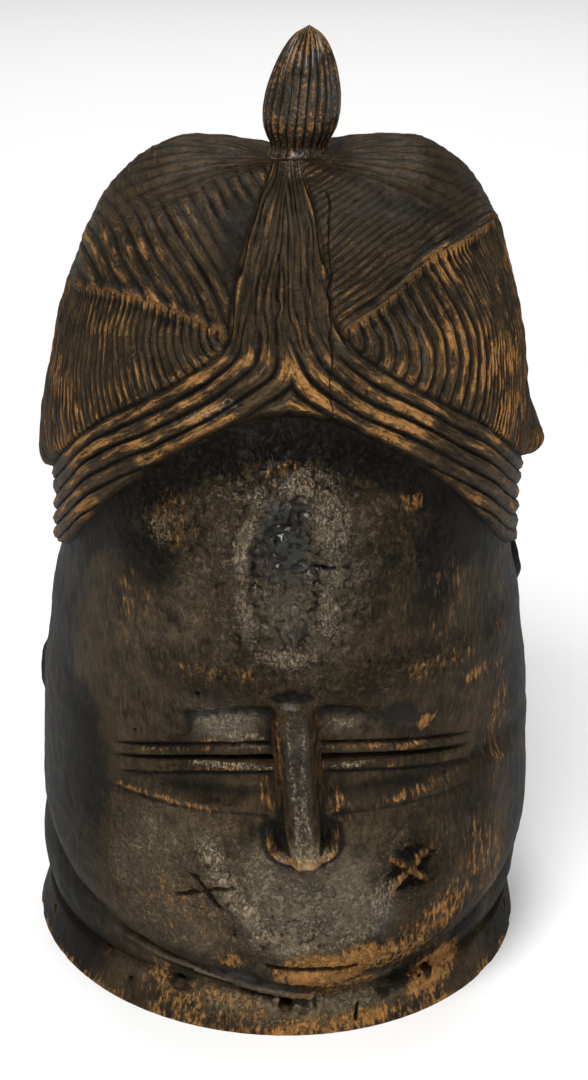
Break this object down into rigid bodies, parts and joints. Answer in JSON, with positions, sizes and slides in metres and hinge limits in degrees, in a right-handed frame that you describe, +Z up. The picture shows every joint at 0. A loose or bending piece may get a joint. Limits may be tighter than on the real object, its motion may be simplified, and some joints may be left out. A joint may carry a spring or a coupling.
{
  "type": "carved wood helmet mask",
  "caption": "Carved wood helmet mask with a small calm face, a lobed coiffure and a fluted knob, hollow and standing on its rim.",
  "frame": {"origin": "middle of the bounding box at the plane the rim stands on", "axes": "-Y the way the face looks, +X to the viewer's right of the face, +Z up through the knob"},
  "size_m": [0.2232, 0.2769, 0.392],
  "materials": {
    "blackened_wood": "hand-carved, blackened and oiled, worn to bare wood on the ridges"
  },
  "bodies": {
    "root": {"mask": "blackened_wood"}
  },
  "joints": []
}
